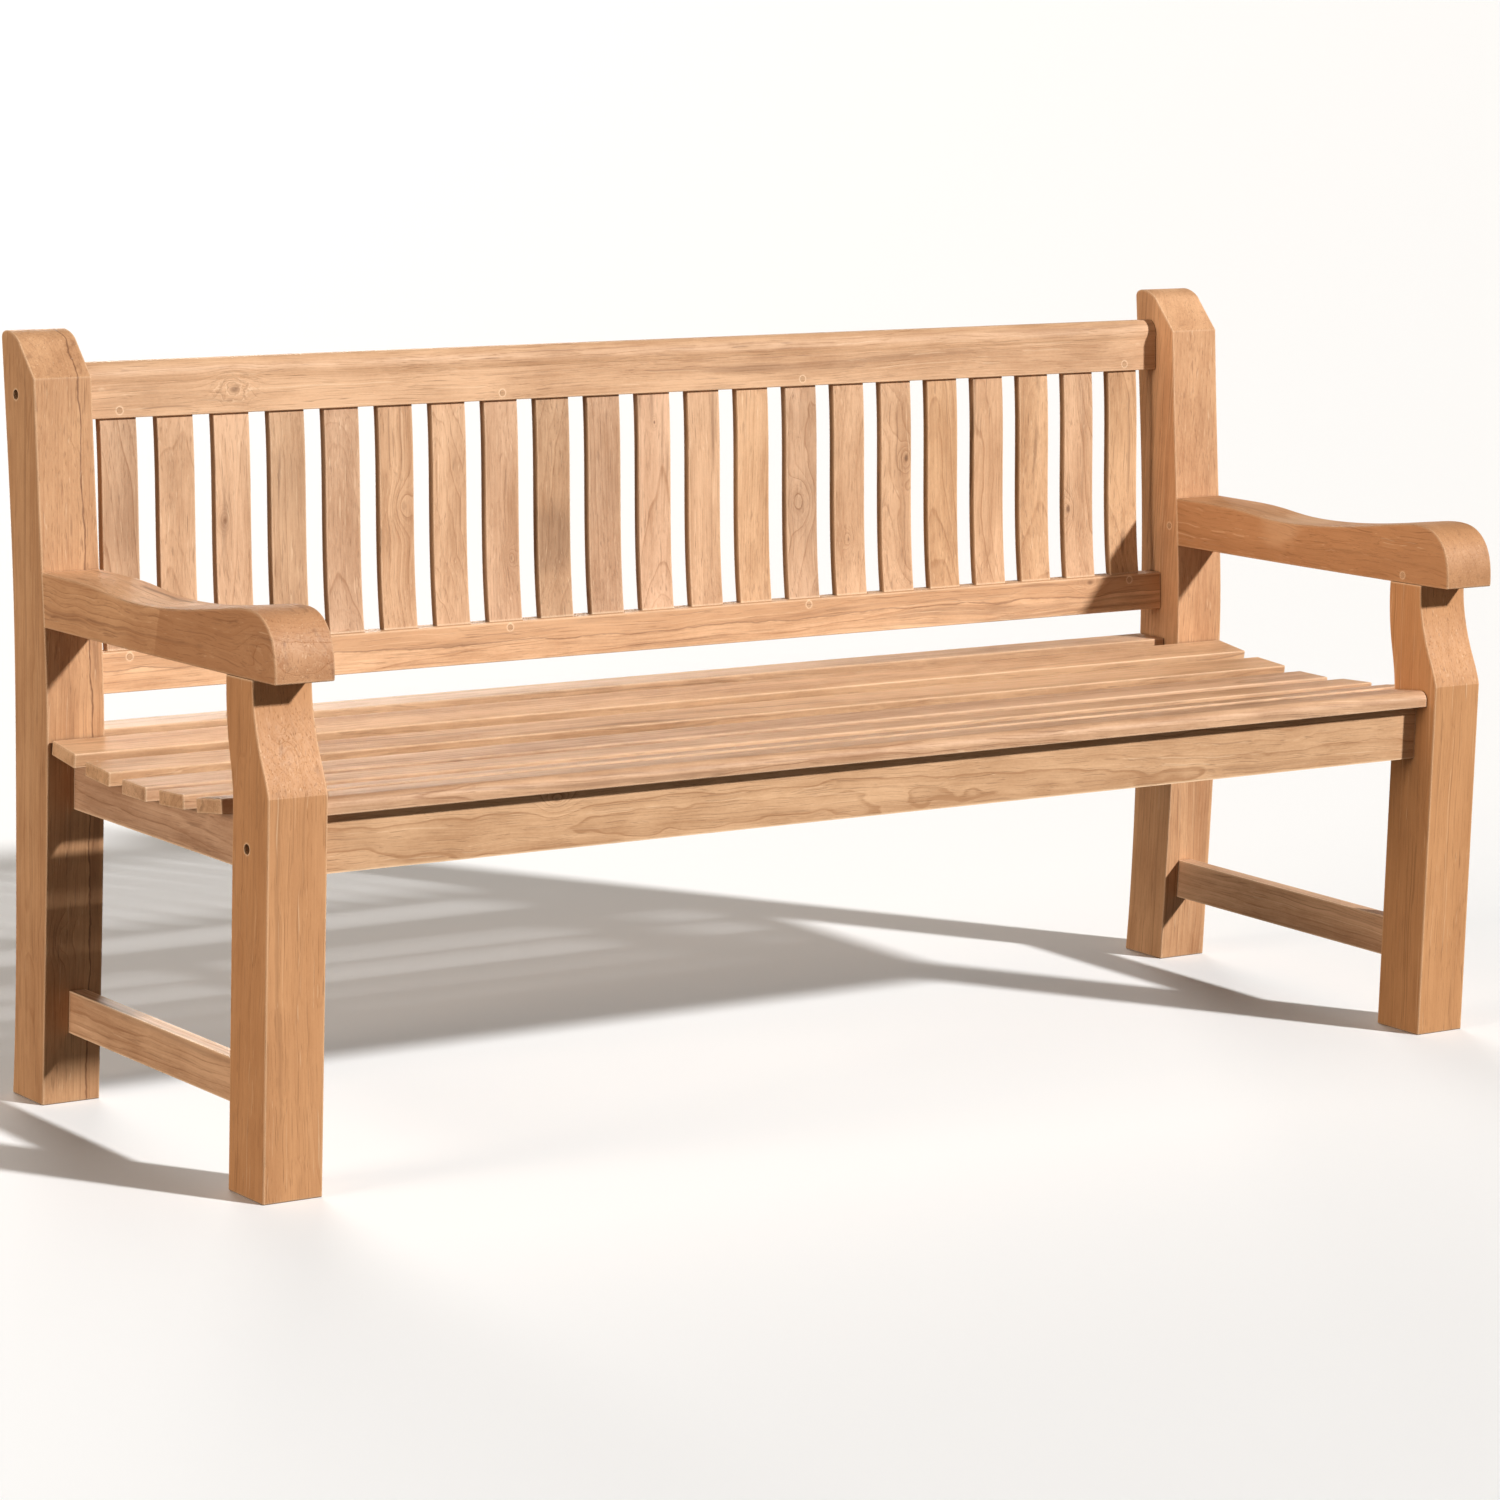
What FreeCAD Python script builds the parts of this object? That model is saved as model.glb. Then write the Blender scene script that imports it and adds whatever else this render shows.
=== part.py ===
"""Garden bench: a slatted hardwood bench with shaped arms and legs, jointed with tenons.

Millimetres. +X is the bench's own long way, +Y goes to its back and +Z is up. The origin
is on the floor, in the middle of the bench's box. Outlines are side views, each a list of
(depth, height) points, and depths are counted from the front face of the front legs.
"""
import FreeCAD, Part
import os
from FreeCAD import Vector

# Overall
HALF_LENGTH = 900.0
LEG_WIDTH = 76.0
INNER_FACE = HALF_LENGTH - LEG_WIDTH
ARM_NOSE_DEPTH = -11.5
BACK_LEG_REAR_DEPTH = 632.0
MIDDLE_DEPTH = (ARM_NOSE_DEPTH + BACK_LEG_REAR_DEPTH) / 2

# Easing of the sharp edges
LEG_EASING = 1.5
ARM_EASING = 2.0
RAIL_EASING = 1.5
SLAT_EASING = 1.5

# Joints
FIT_GAP = 0.2
TENON_OVERLAP = 8.0
SHOULDER = 8.0
DRILL_OVERRUN = 1.0

# Back legs: a run of two points is straight, three make an arc and more make a smooth curve
BACK_LEG_OUTLINE = [
    [(520, 0), (516.5, 140), (512.7, 380), (515.5, 503), (529, 640), (542.5, 769), (551, 862.5)],
    [(551, 862.5), (586, 899)],
    [(586, 899), (594, 906.5), (604, 911), (613, 913), (622, 913), (629.5, 910), (BACK_LEG_REAR_DEPTH, 903)],
    [(BACK_LEG_REAR_DEPTH, 903), (619, 791), (610, 709), (600, 591), (594, 448), (591, 270), (591.5, 108),
     (596.5, 0)],
    [(596.5, 0), (520, 0)],
]

# Front legs
FRONT_LEG_DEPTH = 78.0
KNEE_HEIGHT = 457.0
FRONT_LEG_BLANK_TOP = 600.0
FRONT_LEG_OUTLINE = [
    [(0, 0), (0, KNEE_HEIGHT)],
    [(0, KNEE_HEIGHT), (9.5, 482), (19, 502), (28, 526), (36, 560), (36.5, FRONT_LEG_BLANK_TOP)],
    [(36.5, FRONT_LEG_BLANK_TOP), (95, FRONT_LEG_BLANK_TOP)],
    [(95, FRONT_LEG_BLANK_TOP), (95.5, 556), (90.5, 514), (84, 484), (FRONT_LEG_DEPTH, 440)],
    [(FRONT_LEG_DEPTH, 440), (FRONT_LEG_DEPTH, 0)],
    [(FRONT_LEG_DEPTH, 0), (0, 0)],
]

# Arms
ARM_OUTLINE = [
    [(545, 573.5), (286, 578), (95, 582.5), (ARM_NOSE_DEPTH, 585.5)],
    [(ARM_NOSE_DEPTH, 585.5), (-9.5, 614), (0, 638.5), (20.5, 656), (50, 661.3), (91, 657), (205, 640),
     (300, 632.8), (350, 633.5), (400, 637.8), (470, 638.8), (545, 638)],
    [(545, 638), (545, 573.5)],
]
ARM_TENON_WIDTH = 24.0
ARM_TENON_HEIGHTS = (588.0, 622.0)
ARM_TENON_DEPTHS = (510.0, 556.0)
LEG_TOP_TENON_DEPTHS = (52.0, 84.0)
LEG_TOP_TENON_HEIGHTS = (570.0, 622.0)

# Back rails: the front face leans back with the legs
TOP_RAIL_THICKNESS = 22.0
TOP_RAIL_OUTLINE = [
    [(583, 808), (585.8, 849)],
    [(585.8, 849), (588.5, 866), (597, 874)],
    [(597, 874), (585.8 + TOP_RAIL_THICKNESS, 874)],
    [(585.8 + TOP_RAIL_THICKNESS, 874), (583 + TOP_RAIL_THICKNESS, 808)],
    [(583 + TOP_RAIL_THICKNESS, 808), (583, 808)],
]
TOP_RAIL_TENON_DEPTHS = (589.5, 601.5)
TOP_RAIL_TENON_HEIGHTS = (815.0, 865.0)
LOWER_RAIL_THICKNESS = 26.0
LOWER_RAIL_OUTLINE = [
    [(551, 484), (555, 533)],
    [(555, 533), (555 + LOWER_RAIL_THICKNESS, 533)],
    [(555 + LOWER_RAIL_THICKNESS, 533), (551 + LOWER_RAIL_THICKNESS, 484)],
    [(551 + LOWER_RAIL_THICKNESS, 484), (551, 484)],
]
LOWER_RAIL_TENON_DEPTHS = (560.0, 573.0)
LOWER_RAIL_TENON_HEIGHTS = (491.0, 527.0)
SHORT_TENON = 16.0
LONG_TENON = 28.0

# Back slats: thin, bent to the sitter's back
BACK_SLAT_COUNT = 21
BACK_SLAT_PITCH = 76.87
BACK_SLAT_WIDTH = 49.5
BACK_SLAT_THICKNESS = 11.0
BACK_SLAT_FRONT = [(564.6, 533), (573.3, 600), (578.4, 675), (582.5, 750), (588.3, 808)]
BACK_SLAT_TENON_WIDTH = 38.0
BACK_SLAT_TENON_THICKNESS = 7.0
BACK_SLAT_TENON_LENGTH = 18.0
BACK_SLAT_TENON_ROOT = 2.0
PEGGED_SLATS = (1, 8, 14, 21)

# Seat slats: (rear depth, rear height, front depth, front height) of each flat top
SEAT_SLAT_THICKNESS = 17.5
REAR_SLAT_TOP = (592.0, 444.0, 541.0, 444.0)
FULL_SLAT_TOPS = [
    (509.5, 441.6, 454.0, 434.3),
    (428.0, 430.0, 371.0, 426.5),
    (341.0, 423.5, 285.0, 423.5),
    (254.5, 426.0, 198.0, 429.4),
    (169.5, 431.0, 113.0, 439.2),
]
FULL_SLAT_HALF_LENGTH = 895.0
SHORT_SLAT_HALF_LENGTH = INNER_FACE - 1.0
FRONT_SLAT_OUTLINE = [
    [(83, 443), (27, 449.5)],
    [(27, 449.5), (17.8, 446.6), (14, 439)],
    [(14, 439), (14, 430)],
    [(14, 430), (81, 425)],
    [(81, 425), (83, 443)],
]

# Seat frame
APRON_DEPTHS = (34.0, 57.0)
APRON_BOTTOM = 360.0
APRON_TENON_DEPTHS = (39.0, 52.0)
APRON_TENON_HEIGHTS = (368.0, 420.0)
REAR_SEAT_RAIL_DEPTHS = (555.0, 579.0)
REAR_SEAT_RAIL_TENON_DEPTHS = (560.0, 574.0)
SEAT_RAIL_BOTTOM = 357.0
REAR_SEAT_RAIL_BOTTOM = 360.0
CENTRE_BEARER_BOTTOM = 363.0
SEAT_RAIL_TENON_HEIGHTS = (366.0, 406.0)
SIDE_RAIL_FACES = (842.5, 864.5)
SIDE_RAIL_TENON_FACES = (847.0, 860.0)
SIDE_RAIL_TENON_LENGTH = 25.0
CENTRE_BEARER_HALF_WIDTH = 12.0
CENTRE_BEARER_TENON_HALF_WIDTH = 7.0
CENTRE_BEARER_TENON = 10.0
BACK_LEG_FRONT_AT_SEAT = 513.0

# Side stretchers
STRETCHER_FACES = (846.0, 867.0)
STRETCHER_HEIGHTS = (86.0, 137.0)
STRETCHER_TENON_FACES = (850.5, 862.5)
STRETCHER_TENON_HEIGHTS = (94.0, 129.0)
STRETCHER_TENON_LENGTH = 30.0
BACK_LEG_FRONT_AT_STRETCHER = 517.0

# Bolts and barrel nuts: (depth, height) of each bolt
APRON_BOLT = (45.5, 394.5)
TOP_RAIL_BOLT = (595.5, 840.0)
BOLT_RADIUS = 3.0
BOLT_LENGTH = 108.0
BOLT_HEAD_RADIUS = 5.2
BOLT_HEAD_HEIGHT = 5.0
BOLT_SOCKET_RADIUS = 2.6
HEXAGON_SIDES = 6
BOLT_SOCKET_DEPTH = 3.0
BOLT_RECESS_RADIUS = 6.0
BOLT_RECESS_DEPTH = 14.0
BOLT_HOLE_RADIUS = 3.3
NUT_RADIUS = 5.0
NUT_LENGTH = 15.0
NUT_HOLE_RADIUS = 3.1
NUT_INSET = 32.0

# Pegs and dowels
PEG_RADIUS = 4.0
PEG_CLEARANCE = 0.1
SLAT_PEG_LENGTH = 18.0
SLAT_PEGS = [(554.3, 526.0), (583.5, 817.0)]
ARM_PEG_LENGTH = 60.0
ARM_PEGS = [(73.0, 593.0), (541.0, 599.0)]
DOWEL_RADIUS = 4.0
DOWEL_IN_SLAT = 10.0
DOWEL_IN_RAIL = 16.0
SHORT_SLAT_DOWELS_X = (-700.0, -350.0, 350.0, 700.0)

ALONG_X = Vector(1, 0, 0)
ALONG_Y = Vector(0, 1, 0)
ALONG_Z = Vector(0, 0, 1)
ORIGIN = Vector(0, 0, 0)


# ---- basic shapes ----------------------------------------------------------------------

def edge_through(points):
    """A straight edge, an arc or a smooth curve through (depth, height) points."""
    vectors = [Vector(0, depth, height) for depth, height in points]
    if len(vectors) == 2:
        return Part.LineSegment(*vectors).toShape()
    if len(vectors) == 3:
        return Part.Arc(*vectors).toShape()
    curve = Part.BSplineCurve()
    curve.interpolate(vectors)
    return curve.toShape()


def plank(outline, low_x, high_x):
    """A side-view outline sawn from a board that lies between two X positions."""
    face = Part.Face(Part.Wire([edge_through(run) for run in outline]))
    face.translate(Vector(low_x, 0, 0))
    return face.extrude(Vector(high_x - low_x, 0, 0))


def straight_sided(corners):
    """A closed outline with straight sides between its corners."""
    return [[corner, corners[(number + 1) % len(corners)]] for number, corner in enumerate(corners)]


def block(x_range, depths, heights):
    """A rectangular block from its three ranges."""
    low = Vector(x_range[0], depths[0], heights[0])
    return Part.makeBox(x_range[1] - x_range[0], depths[1] - depths[0], heights[1] - heights[0], low)


def socket(x_range, depths, heights):
    """The mortise for a block-shaped tenon, with the fit gap all round."""
    ranges = [(low - FIT_GAP, high + FIT_GAP) for low, high in (x_range, depths, heights)]
    return block(*ranges)


def rod(radius, length, start, direction):
    """A round rod from a start point."""
    return Part.makeCylinder(radius, length, start, direction)


def eased(solid, radius):
    """The solid with every edge rounded over."""
    return solid.makeFillet(radius, solid.Edges)


def joined(*solids):
    """Solids fused into one, with no seams left between their faces."""
    whole = solids[0].fuse(list(solids[1:]))
    return whole.removeSplitter()


def mirrored(shape):
    """The left-hand copy of a right-hand piece."""
    return shape.mirror(ORIGIN, ALONG_X)


# ---- tenons on the right-hand side, each as (X range, depths, heights) -------------------

INTO_LEG_SHORT = (INNER_FACE - TENON_OVERLAP, INNER_FACE + SHORT_TENON)
INTO_LEG_LONG = (INNER_FACE - TENON_OVERLAP, INNER_FACE + LONG_TENON)
LEG_MIDDLE = HALF_LENGTH - LEG_WIDTH / 2
ARM_TENON_X = (LEG_MIDDLE - ARM_TENON_WIDTH / 2, LEG_MIDDLE + ARM_TENON_WIDTH / 2)

APRON_TENON = (INTO_LEG_SHORT, APRON_TENON_DEPTHS, APRON_TENON_HEIGHTS)
TOP_RAIL_TENON = (INTO_LEG_SHORT, TOP_RAIL_TENON_DEPTHS, TOP_RAIL_TENON_HEIGHTS)
LOWER_RAIL_TENON = (INTO_LEG_LONG, LOWER_RAIL_TENON_DEPTHS, LOWER_RAIL_TENON_HEIGHTS)
REAR_RAIL_TENON = (INTO_LEG_SHORT, REAR_SEAT_RAIL_TENON_DEPTHS, SEAT_RAIL_TENON_HEIGHTS)
ARM_REAR_TENON = (ARM_TENON_X, ARM_TENON_DEPTHS, ARM_TENON_HEIGHTS)
LEG_TOP_TENON = (ARM_TENON_X, LEG_TOP_TENON_DEPTHS, LEG_TOP_TENON_HEIGHTS)


def tenon_between(faces, heights, front_shoulder, rear_shoulder, length):
    """The two tenons of a rail that runs from a front leg to a back leg."""
    front = (faces, (front_shoulder - length, front_shoulder + SHOULDER), heights)
    rear = (faces, (rear_shoulder - SHOULDER, rear_shoulder + length), heights)
    return [front, rear]


SIDE_RAIL_TENONS = tenon_between(
    SIDE_RAIL_TENON_FACES, SEAT_RAIL_TENON_HEIGHTS, FRONT_LEG_DEPTH, BACK_LEG_FRONT_AT_SEAT,
    SIDE_RAIL_TENON_LENGTH)
STRETCHER_TENONS = tenon_between(
    STRETCHER_TENON_FACES, STRETCHER_TENON_HEIGHTS, FRONT_LEG_DEPTH, BACK_LEG_FRONT_AT_STRETCHER,
    STRETCHER_TENON_LENGTH)
BEARER_X = (-CENTRE_BEARER_TENON_HALF_WIDTH, CENTRE_BEARER_TENON_HALF_WIDTH)
BEARER_TENONS = tenon_between(
    BEARER_X, SEAT_RAIL_TENON_HEIGHTS, APRON_DEPTHS[1], REAR_SEAT_RAIL_DEPTHS[0], CENTRE_BEARER_TENON)


# ---- bolts, pegs and dowels --------------------------------------------------------------

def bolt(centre):
    """One bolt on the right: a round head with a hex socket, and a shank into the rail."""
    depth, height = centre
    seat = HALF_LENGTH - BOLT_RECESS_DEPTH
    head = rod(BOLT_HEAD_RADIUS, BOLT_HEAD_HEIGHT, Vector(seat, depth, height), ALONG_X)
    shank = rod(BOLT_RADIUS, BOLT_LENGTH, Vector(seat - BOLT_LENGTH, depth, height), ALONG_X)
    mouth = seat + BOLT_HEAD_HEIGHT
    hexagon = Part.makePolygon(hexagon_corners(mouth - BOLT_SOCKET_DEPTH, depth, height))
    hex_socket = Part.Face(Part.Wire(hexagon.Edges)).extrude(ALONG_X * (BOLT_SOCKET_DEPTH + DRILL_OVERRUN))
    return joined(head, shank).cut(hex_socket)


def hexagon_corners(x, depth, height):
    """The closed ring of corners of a bolt's hex socket."""
    corner = Vector(0, BOLT_SOCKET_RADIUS, 0)
    turn = FreeCAD.Rotation(ALONG_X, 360 / HEXAGON_SIDES)
    corners = []
    for _ in range(HEXAGON_SIDES):
        corners.append(Vector(x, depth, height) + corner)
        corner = turn.multVec(corner)
    return corners + corners[:1]


def bolt_hole(centre):
    """The stepped hole for a bolt: a recess for its head and a hole for its shank."""
    depth, height = centre
    seat = HALF_LENGTH - BOLT_RECESS_DEPTH
    recess = rod(BOLT_RECESS_RADIUS, BOLT_RECESS_DEPTH + DRILL_OVERRUN, Vector(seat, depth, height), ALONG_X)
    end = seat - BOLT_LENGTH - DRILL_OVERRUN
    hole = rod(BOLT_HOLE_RADIUS, seat - end + DRILL_OVERRUN, Vector(end, depth, height), ALONG_X)
    return joined(recess, hole)


def barrel_nut(centre):
    """One cross nut, which lies front to back in the rail and holds the bolt's end."""
    depth, height = centre
    x = INNER_FACE - NUT_INSET
    front = depth - NUT_LENGTH / 2
    nut = rod(NUT_RADIUS, NUT_LENGTH, Vector(x, front, height), ALONG_Y)
    reach = NUT_RADIUS + DRILL_OVERRUN
    thread = rod(NUT_HOLE_RADIUS, 2 * reach, Vector(x - reach, depth, height), ALONG_X)
    return nut.cut(thread)


def barrel_nut_hole(centre):
    """The blind hole, open at the rail's rear face, that takes a barrel nut."""
    depth, height = centre
    front = Vector(INNER_FACE - NUT_INSET, depth - NUT_LENGTH / 2, height)
    return rod(NUT_RADIUS + FIT_GAP, 2 * NUT_LENGTH, front, ALONG_Y)


def slat_x(number):
    """The middle of a back slat, numbered from 1 at the left."""
    return (number - (BACK_SLAT_COUNT + 1) / 2) * BACK_SLAT_PITCH


def slat_pegs():
    """The pegs driven from the front through the back rails into the slat tenons."""
    return [rod(PEG_RADIUS, SLAT_PEG_LENGTH, Vector(slat_x(number), depth, height), ALONG_Y)
            for number in PEGGED_SLATS
            for depth, height in SLAT_PEGS]


def slat_peg_holes():
    """The holes for the slat pegs, open at the rails' front faces."""
    return [rod(PEG_RADIUS + PEG_CLEARANCE, SLAT_PEG_LENGTH + PEG_RADIUS,
                Vector(slat_x(number), depth - PEG_RADIUS, height), ALONG_Y)
            for number in PEGGED_SLATS
            for depth, height in SLAT_PEGS]


def arm_pegs():
    """The pegs on the right, driven from the inner face through the arm's two tenons."""
    return [rod(PEG_RADIUS, ARM_PEG_LENGTH, Vector(INNER_FACE, depth, height), ALONG_X)
            for depth, height in ARM_PEGS]


def arm_peg_holes():
    """The holes for the arm pegs, front leg's first, open at the inner face."""
    return [rod(PEG_RADIUS + PEG_CLEARANCE, ARM_PEG_LENGTH + DRILL_OVERRUN,
                Vector(INNER_FACE - DRILL_OVERRUN, depth, height), ALONG_X)
            for depth, height in ARM_PEGS]


def underside_middle(top):
    """The (depth, height) of the middle of a seat slat's underside."""
    rear_depth, rear_height, front_depth, front_height = top
    run = Vector(0, rear_depth - front_depth, rear_height - front_height).normalize()
    down = Vector(0, run.z, -run.y) * SEAT_SLAT_THICKNESS
    return (rear_depth + front_depth) / 2 + down.y, (rear_height + front_height) / 2 + down.z


def apron_top(depth):
    """The height of the front slat's underside, which is also the apron's top."""
    (front_depth, front_height), (rear_depth, rear_height) = FRONT_SLAT_OUTLINE[3]
    share = (depth - front_depth) / (rear_depth - front_depth)
    return front_height + share * (rear_height - front_height)


def dowel_places():
    """Where each seat dowel crosses from a rail into a slat, as (x, depth, height)."""
    side_rail_x = sum(SIDE_RAIL_FACES) / 2
    bearing_x = (-side_rail_x, 0.0, side_rail_x)
    places = [(x, *underside_middle(top)) for top in FULL_SLAT_TOPS for x in bearing_x]
    apron_depth = sum(APRON_DEPTHS) / 2
    rear_depth = sum(REAR_SEAT_RAIL_DEPTHS) / 2
    rear_height = REAR_SLAT_TOP[1] - SEAT_SLAT_THICKNESS
    for x in SHORT_SLAT_DOWELS_X:
        places.append((x, apron_depth, apron_top(apron_depth)))
        places.append((x, rear_depth, rear_height))
    return places


def dowels(gap):
    """Every seat dowel, or the holes for them when the gap is more than nothing."""
    length = DOWEL_IN_RAIL + DOWEL_IN_SLAT + 2 * gap
    return [rod(DOWEL_RADIUS + gap, length, Vector(x, depth, height - DOWEL_IN_RAIL - gap), ALONG_Z)
            for x, depth, height in dowel_places()]


# ---- legs and arms ----------------------------------------------------------------------

def right_plank(outline):
    """A plank as wide as the legs, on the right-hand side."""
    return plank(outline, INNER_FACE, HALF_LENGTH)


def right_back_leg():
    """The right back leg with its mortises, bolt hole and peg hole."""
    leg = eased(right_plank(BACK_LEG_OUTLINE), LEG_EASING)
    tenons = [TOP_RAIL_TENON, LOWER_RAIL_TENON, REAR_RAIL_TENON, ARM_REAR_TENON, SIDE_RAIL_TENONS[1],
              STRETCHER_TENONS[1]]
    cuts = [socket(*tenon) for tenon in tenons] + [bolt_hole(TOP_RAIL_BOLT)]
    cuts += arm_peg_holes()[1:]
    return leg.cut(cuts)


def right_front_leg():
    """The right front leg with its tenon into the arm, its mortises and its bolt hole."""
    leg = eased(right_plank(FRONT_LEG_OUTLINE), LEG_EASING).cut(right_plank(ARM_OUTLINE))
    leg = joined(leg, block(*LEG_TOP_TENON))
    tenons = [APRON_TENON, SIDE_RAIL_TENONS[0], STRETCHER_TENONS[0]]
    cuts = [socket(*tenon) for tenon in tenons] + [bolt_hole(APRON_BOLT)]
    cuts += arm_peg_holes()[:1]
    return leg.cut(cuts)


def right_arm():
    """The right arm, coped to the back leg and tenoned into it, with a mortise for the front leg."""
    arm = eased(right_plank(ARM_OUTLINE), ARM_EASING).cut(right_plank(BACK_LEG_OUTLINE))
    arm = joined(arm, block(*ARM_REAR_TENON))
    return arm.cut([socket(*LEG_TOP_TENON)] + arm_peg_holes())


# ---- back -------------------------------------------------------------------------------

def back_rail(outline, tenon):
    """A rail between the back legs, with a tenon at each end and a mortise for each slat."""
    rail = eased(plank(outline, -INNER_FACE, INNER_FACE), RAIL_EASING)
    right_tenon = block(*tenon)
    rail = joined(rail, right_tenon, mirrored(right_tenon))
    sockets = [slat_tenons(number, FIT_GAP) for number in range(1, BACK_SLAT_COUNT + 1)]
    return rail.cut(sockets).cut(slat_peg_holes())


def top_rail():
    """The top rail, bolted to the back legs at both ends."""
    rail = back_rail(TOP_RAIL_OUTLINE, TOP_RAIL_TENON)
    holes = [bolt_hole(TOP_RAIL_BOLT), barrel_nut_hole(TOP_RAIL_BOLT)]
    return rail.cut(holes + [mirrored(hole) for hole in holes])


def slat_tenons(number, gap):
    """The two tenons of a back slat, or their mortises when the gap is more than nothing."""
    x = slat_x(number)
    half = BACK_SLAT_TENON_WIDTH / 2 + gap
    tenons = []
    for (front, end), direction in ((BACK_SLAT_FRONT[0], -1), (BACK_SLAT_FRONT[-1], 1)):
        depth = front + BACK_SLAT_THICKNESS / 2
        depths = (depth - BACK_SLAT_TENON_THICKNESS / 2 - gap, depth + BACK_SLAT_TENON_THICKNESS / 2 + gap)
        root = end - direction * BACK_SLAT_TENON_ROOT
        tip = end + direction * (BACK_SLAT_TENON_LENGTH + gap)
        tenons.append(block((x - half, x + half), depths, sorted((root, tip))))
    return Part.makeCompound(tenons)


def back_slat(number):
    """One thin bent slat with a tenon at each end."""
    x = slat_x(number)
    rear = [(depth + BACK_SLAT_THICKNESS, height) for depth, height in reversed(BACK_SLAT_FRONT)]
    outline = [BACK_SLAT_FRONT, [BACK_SLAT_FRONT[-1], rear[0]], rear, [rear[-1], BACK_SLAT_FRONT[0]]]
    slat = plank(outline, x - BACK_SLAT_WIDTH / 2, x + BACK_SLAT_WIDTH / 2)
    long_edges = [edge for edge in slat.Edges if edge.BoundBox.ZLength > BACK_SLAT_WIDTH]
    slat = slat.makeFillet(SLAT_EASING, long_edges)
    slat = joined(slat, *slat_tenons(number, 0).Solids)
    if number in PEGGED_SLATS:
        slat = slat.cut(slat_peg_holes())
    return slat


# ---- seat -------------------------------------------------------------------------------

def slat_outline(top):
    """The section of a flat seat slat from its top's two edges."""
    rear_depth, rear_height, front_depth, front_height = top
    run = Vector(0, rear_depth - front_depth, rear_height - front_height).normalize()
    down_depth, down_height = run.z * SEAT_SLAT_THICKNESS, -run.y * SEAT_SLAT_THICKNESS
    return straight_sided([(rear_depth, rear_height), (front_depth, front_height),
                           (front_depth + down_depth, front_height + down_height),
                           (rear_depth + down_depth, rear_height + down_height)])


def seat_slat(outline, half_length):
    """One seat slat with blind holes for its dowels."""
    slat = eased(plank(outline, -half_length, half_length), SLAT_EASING)
    return slat.cut(dowels(PEG_CLEARANCE))


def dished_rail(x_range, front, rear, bottom):
    """A rail under the full-length slats, its top cut to a flat for each of them."""
    flats = []
    for top in FULL_SLAT_TOPS:
        underside = slat_outline(top)[2]
        flats += reversed(underside)
    line = [(rear, flats[0][1])] + flats + [(front, flats[-1][1])]
    return plank(straight_sided(line + [(front, bottom), (rear, bottom)]), *x_range)


def right_side_rail():
    """The right side seat rail, tenoned into the front leg and the back leg."""
    front, rear = FRONT_LEG_DEPTH - SHOULDER, BACK_LEG_FRONT_AT_SEAT + SHOULDER
    rail = dished_rail(SIDE_RAIL_FACES, front, rear, SEAT_RAIL_BOTTOM)
    rail = rail.cut([right_plank(FRONT_LEG_OUTLINE), right_plank(BACK_LEG_OUTLINE)])
    rail = joined(rail, *[block(*tenon) for tenon in SIDE_RAIL_TENONS])
    return rail.cut(dowels(PEG_CLEARANCE))


def centre_seat_bearer():
    """The bearer halfway along the seat, tenoned into the apron and the rear seat rail."""
    x_range = (-CENTRE_BEARER_HALF_WIDTH, CENTRE_BEARER_HALF_WIDTH)
    bearer = dished_rail(x_range, APRON_DEPTHS[1], REAR_SEAT_RAIL_DEPTHS[0], CENTRE_BEARER_BOTTOM)
    front_slat = plank(FRONT_SLAT_OUTLINE, *x_range)
    rear_slat = plank(slat_outline(REAR_SLAT_TOP), *x_range)
    bearer = joined(bearer, *[block(*tenon) for tenon in BEARER_TENONS])
    return bearer.cut([front_slat, rear_slat] + dowels(PEG_CLEARANCE))


def front_apron():
    """The apron under the front slat, bolted to the front legs, planed to the slat's underside."""
    front, rear = APRON_DEPTHS
    outline = straight_sided([(front, APRON_BOTTOM), (front, apron_top(front)), (rear, apron_top(rear)),
                              (rear, APRON_BOTTOM)])
    tenon = block(*APRON_TENON)
    apron = joined(plank(outline, -INNER_FACE, INNER_FACE), tenon, mirrored(tenon))
    holes = [bolt_hole(APRON_BOLT), barrel_nut_hole(APRON_BOLT)]
    holes += [mirrored(hole) for hole in holes]
    return apron.cut(holes + [socket(*BEARER_TENONS[0])] + dowels(PEG_CLEARANCE))


def rear_seat_rail():
    """The rail under the rear seat slat, tenoned into the back legs."""
    heights = (REAR_SEAT_RAIL_BOTTOM, REAR_SLAT_TOP[1] - SEAT_SLAT_THICKNESS)
    tenon = block(*REAR_RAIL_TENON)
    rail = joined(block((-INNER_FACE, INNER_FACE), REAR_SEAT_RAIL_DEPTHS, heights), tenon, mirrored(tenon))
    return rail.cut([socket(*BEARER_TENONS[1])] + dowels(PEG_CLEARANCE))


def right_stretcher():
    """The right low stretcher, tenoned into the front leg and the back leg."""
    depths = (FRONT_LEG_DEPTH - SHOULDER, BACK_LEG_FRONT_AT_STRETCHER + SHOULDER)
    rail = block(STRETCHER_FACES, depths, STRETCHER_HEIGHTS)
    rail = rail.cut([right_plank(FRONT_LEG_OUTLINE), right_plank(BACK_LEG_OUTLINE)])
    return joined(rail, *[block(*tenon) for tenon in STRETCHER_TENONS])


# ---- the whole bench ----------------------------------------------------------------------

def pair(name, right_piece):
    """A right-hand piece and its mirror image, by name."""
    return {name + "_right": right_piece, name + "_left": mirrored(right_piece)}


def both_sides(pieces):
    """Loose pieces on the right and their mirror images, as one group."""
    return Part.makeCompound(pieces + [mirrored(piece) for piece in pieces])


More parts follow.
